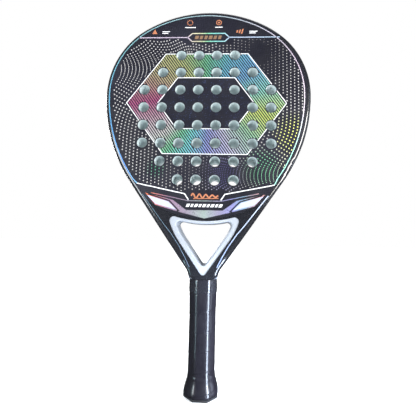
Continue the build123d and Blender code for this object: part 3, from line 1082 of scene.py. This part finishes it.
def sleeve(name, heights, outer, inner, around):
    """Closed tube round the handle; outer and inner give the reach at a height and an angle."""
    vertices, faces = [], []
    for reach in (outer, inner):
        for z in heights:
            for i in range(around):
                angle = 2 * math.pi * i / around
                distance = reach(z, angle)
                vertices.append((distance * math.cos(angle) * MM, distance * math.sin(angle) * MM, z * MM))
    rows = len(heights)
    wall = rows * around
    for i in range(around):
        j = (i + 1) % around
        for row in range(rows - 1):
            low, high = row * around, (row + 1) * around
            faces.append((low + i, low + j, high + j, high + i))
            faces.append((wall + low + j, wall + low + i, wall + high + i, wall + high + j))
        last = (rows - 1) * around
        faces.append((last + i, last + j, wall + last + j, wall + last + i))
        faces.append((j, i, wall + i, wall + j))
    mesh = bpy.data.meshes.new(name)
    mesh.from_pydata(vertices, [], faces)
    mesh.polygons.foreach_set("use_smooth", [True] * len(mesh.polygons))
    return bpy.data.objects.new(name, mesh)


def spaced(low, high, step):
    count = max(1, round((high - low) / step))
    return [low + (high - low) * i / count for i in range(count + 1)]


GRIP_ROLL = 1.1              # how far the grip's lower edge is rolled in
GRIP_ROLL_HEIGHT = 1.4
GRIP_SHRINK = 0.02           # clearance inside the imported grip's outline


def wound_grip(finish):
    """The base grip as a strip wound up the handle, its laps showing."""
    def outer(z, angle):
        into_roll = max(0.0, 1 - (z - grip_foot) / GRIP_ROLL_HEIGHT)
        rolled = GRIP_ROLL * (1 - math.sqrt(1 - into_roll ** 2))
        growth = GRIP_THICKNESS + cap_flare(z) + top_swell(z) - rolled
        return octagon_reach(growth, angle) + seam_relief(z, angle) - GRIP_SHRINK

    def inner(z, angle):
        return octagon_reach(cap_flare(z), angle)

    heights = spaced(grip_foot, grip_foot + 2.0, 0.25)[:-1] + spaced(grip_foot + 2.0, neck_z, 0.6)
    grip = sleeve("wound_grip", heights, outer, inner, 120)
    grip.data.materials.append(finish)
    ready(grip, "grip_wrap", "base_grip")


TAPE_PROUD = 0.18            # over the grip at the tape's very edge, and how much more further in
TAPE_BODY = 0.12
TAPE_EDGE = 0.4
TAPE_TUCK = 0.5              # how far, and over what height, its upper edge is tucked in
SECOND_TURN = 0.14
SECOND_TURN_FROM = 2.2
END_LAP = 0.08
END_LAP_ANGLES = (4.1, 6.2)  # where the lapped end starts and stops round the handle
END_LAP_SLANT = 0.02
END_LAP_BLEND = 0.012
CREASE = 0.05
TAPE_BEDDED = 0.6            # how deep the tape's inner side lies in the grip


def tape_band(finish):
    """The finishing tape: two turns over each other with a lapped end and slight creases."""
    def outer(z, angle):
        up = z - tape_foot
        down = neck_z - z
        edge = min(1.0, up / TAPE_EDGE, down / TAPE_EDGE)
        tucked = TAPE_TUCK * math.exp(-down / TAPE_TUCK)
        second_turn = SECOND_TURN if up > SECOND_TURN_FROM else 0.0
        start, stop = END_LAP_ANGLES
        past_start = angle - start - END_LAP_SLANT * up
        end_lap = END_LAP / (1 + math.exp(-past_start / END_LAP_BLEND)) if angle < stop else 0.0
        crease = CREASE * math.sin(3 * angle + 0.8 * z) * math.sin(0.9 * z)
        proud = TAPE_PROUD + TAPE_BODY * max(0.0, edge) + second_turn + end_lap + crease
        return octagon_reach(GRIP_THICKNESS + top_swell(z), angle) + proud - tucked

    def inner(z, angle):
        return octagon_reach(GRIP_THICKNESS + top_swell(z), angle) - TAPE_BEDDED

    band = sleeve("tape_band", spaced(tape_foot, neck_z, 0.3), outer, inner, 144)
    band.data.materials.append(finish)
    ready(band, "finishing_tape", "finishing_tape")


# ---------------------------------------------------------------- finishes on the carried-over nodes

def dress(node, finish):
    """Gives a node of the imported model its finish."""
    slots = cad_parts[node].data.materials
    slots.clear()
    slots.append(finish)


def dress_nodes():
    gloss = frame_gloss()
    dress("frame_tube", gloss)
    dress("bridge_shell", gloss)
    skin = skin_print()
    dress("front_skin", skin)
    dress("rear_skin", skin)
    dress("core", cut_foam())
    dress("throat_loop", pearl_paint())
    foam = moulded_foam()
    for node in ("bridge_foam", "handle_spacer", "handle_shell_front", "handle_shell_rear"):
        dress(node, foam)
    dress("butt_cap", cap_plastic())


# ---------------------------------------------------------------- studio and camera

CAMERA_PLACE = (0.0172, -0.3316, 0.1778)
CAMERA_AIM = (0.0042, -0.019, 0.20995)
CAMERA_ROLL = math.radians(1.33)
LENS = 23.8
SENSOR = 36.0


def add_camera():
    data = bpy.data.cameras.new("camera")
    data.lens = LENS
    data.sensor_width = SENSOR
    data.clip_start = 0.01
    camera = bpy.data.objects.new("camera", data)
    bpy.context.scene.collection.objects.link(camera)
    aim = (Vector(CAMERA_AIM) - Vector(CAMERA_PLACE)).to_track_quat("-Z", "Y").to_matrix().to_4x4()
    camera.matrix_world = Matrix.Translation(CAMERA_PLACE) @ aim @ Matrix.Rotation(CAMERA_ROLL, 4, "Z")
    bpy.context.scene.camera = camera


def softbox(name, place, aim, size, power, colour):
    """Rectangular soft light."""
    data = bpy.data.lights.new(name, "AREA")
    data.shape = "RECTANGLE"
    data.size, data.size_y = size
    data.energy = power
    data.color = colour
    light = bpy.data.objects.new(name, data)
    light.visible_camera = False
    bpy.context.scene.collection.objects.link(light)
    turn = (Vector(aim) - Vector(place)).to_track_quat("-Z", "Y").to_matrix().to_4x4()
    light.matrix_world = Matrix.Translation(place) @ turn


def add_studio():
    head = (0.0, 0.0, 0.32)
    arms = (0.0, 0.0, 0.18)
    handle = (0.0, 0.0, 0.06)
    softbox("key", (1.0, -0.9, 0.4), head, (0.45, 0.8), 22.0, (1.0, 0.99, 0.97))
    softbox("fill", (-0.85, -0.9, 0.3), head, (0.4, 0.6), 8.0, (0.92, 0.96, 1.0))
    softbox("right", (0.9, -0.12, 0.3), arms, (0.08, 1.0), 0.9, (0.7, 0.8, 1.0))
    softbox("left", (-0.75, -0.42, 0.3), arms, (0.04, 1.0), 0.8, (0.7, 0.92, 1.0))
    softbox("handle_right", (0.048, -0.052, 0.06), handle, (0.02, 0.14), 0.28, (0.7, 0.82, 1.0))
    softbox("handle_left", (-0.05, -0.05, 0.075), handle, (0.003, 0.12), 0.02, (0.55, 0.9, 1.0))
    softbox("top", (0.0, 0.25, 1.5), head, (1.2, 1.2), 8.0, (1.0, 1.0, 1.0))
    softbox("back_right", (0.8, 0.9, 0.2), arms, (0.5, 0.5), 2.5, (1.0, 0.99, 0.97))
    softbox("back", (-0.7, 1.2, 0.7), head, (0.6, 0.6), 12.0, (1.0, 0.98, 0.96))


FLOOR_HALF = 6.0


def add_floor():
    """Plain pale floor that glows a little more further out, as a lit sweep does."""
    mesh = bpy.data.meshes.new("floor")
    corners = [(FLOOR_HALF * x, FLOOR_HALF * y, 0) for x, y in ((-1, -1), (1, -1), (1, 1), (-1, 1))]
    mesh.from_pydata(corners, [], [(0, 1, 2, 3)])
    floor = bpy.data.objects.new("floor", mesh)
    floor.visible_glossy = False
    finish = Finish("pale_floor", (0.9, 0.9, 0.9), 0.9, Emission_Color=(1, 1, 1, 1))
    finish.colour(finish.mix(finish.noise(3.0), (0.88, 0.88, 0.88), (0.92, 0.92, 0.92)))
    away = finish.add("ShaderNodeVectorMath", {0: finish.place}, operation="LENGTH").outputs["Value"]
    finish.feed(finish.shader.inputs["Emission Strength"], finish.span(away, 0.1, 0.8, 0.45, 0.95))
    mesh.materials.append(finish.material)
    bpy.context.scene.collection.objects.link(floor)


def add_surroundings():
    """A tent: white to the eye, softer on what it lights and nearly dark in reflections."""
    world = bpy.data.worlds.new("studio")
    world.use_nodes = True
    tree = world.node_tree
    ray = tree.nodes.new("ShaderNodeLightPath")
    seen = tree.nodes["Background"]
    seen.inputs["Color"].default_value = (1, 1, 1, 1)
    for socket, strength in (("Is Diffuse Ray", 0.45), ("Is Glossy Ray", 0.07)):
        lit = tree.nodes.new("ShaderNodeBackground")
        lit.inputs["Color"].default_value = (0.9, 0.95, 1.0, 1)
        lit.inputs["Strength"].default_value = strength
        choice = tree.nodes.new("ShaderNodeMixShader")
        tree.links.new(ray.outputs[socket], choice.inputs[0])
        tree.links.new(seen.outputs[0], choice.inputs[1])
        tree.links.new(lit.outputs[0], choice.inputs[2])
        seen = choice
    tree.links.new(seen.outputs[0], tree.nodes["World Output"].inputs["Surface"])
    bpy.context.scene.world = world


def print_finishes():
    return {
        "white": ink("white_ink", (0.78, 0.8, 0.82)),
        "silver": ink("silver_wing_ink", (0.42, 0.47, 0.64)),
        "black": ink("black_gap_ink", (0.008, 0.008, 0.012)),
        "orange": ink("burnt_orange_ink", (0.42, 0.16, 0.08)),
        "gold": ink("dull_gold_ink", (0.2, 0.12, 0.07)),
        "specks": ink("blue_speck_ink", (0.05, 0.08, 0.2), 0.5),
        "dots": dot_ink(),
        "mark": foil("rainbow_hatch_foil", MARK_CENTRE, MARK_COLOURS, 0.75),
        # painted highlight along the arms, brighter on the right where the light falls
        "edge": foil("painted_arm_highlight_foil", None, ARM_HIGHLIGHT_COLOURS),
        "trim": foil("trim_foil", (0.0, widest_z - 20.0), TRIM_COLOURS),
        "brow": foil("brow_foil", (-2.0, BROW_Z), BROW_COLOURS),
        "panel": foil("panel_foil", None, PANEL_COLOURS, 0.8),
    }


add_camera()
dress_nodes()
face_finishes = print_finishes()
ink_dots, hatch_bars = dots_tree(), bars_tree()
for face in (FRONT, REAR):
    printed_face(face, face_finishes, ink_dots, hatch_bars)
wound_grip(wrap_leather())
tape_band(tape_film())
add_floor()
add_studio()
add_surroundings()
bpy.context.scene.view_settings.view_transform = "Standard"
